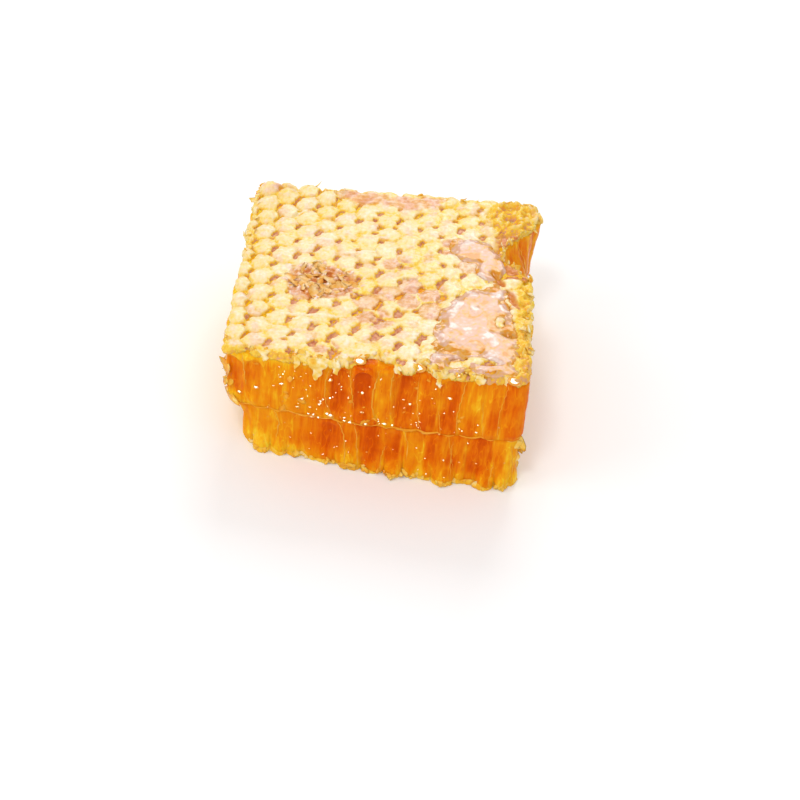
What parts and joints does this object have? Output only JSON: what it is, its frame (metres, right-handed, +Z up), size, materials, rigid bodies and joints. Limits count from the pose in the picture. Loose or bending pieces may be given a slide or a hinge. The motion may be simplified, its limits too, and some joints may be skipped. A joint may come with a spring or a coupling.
{
  "type": "honeycomb piece",
  "caption": "Cut square of capped honeycomb: two layers of honey cells on a wax midrib between domed wax cappings, with torn edges.",
  "frame": {"origin": "middle of the piece's footprint, on the surface that it rests on", "axes": "+Z up through the layers, +X to the right along the cut front face, +Y towards the back"},
  "size_m": [0.068, 0.0664, 0.0317],
  "materials": {
    "wax_capping": "pale new beeswax, soft satin, wet with honey in places",
    "honey_upper_cells": "clear amber honey in wax cells, cut open, wet and glossy",
    "wax_midrib": "thin translucent beeswax, soaked with honey",
    "honey_lower_cells": "clear golden honey in wax cells, cut open, wet and glossy",
    "wax_lower_capping": "thin yellow beeswax, translucent with honey"
  },
  "bodies": {
    "root": {"capping_bottom": "wax_lower_capping", "comb_lower": "honey_lower_cells", "midrib": "wax_midrib", "comb_upper": "honey_upper_cells", "capping_top": "wax_capping"}
  },
  "joints": []
}
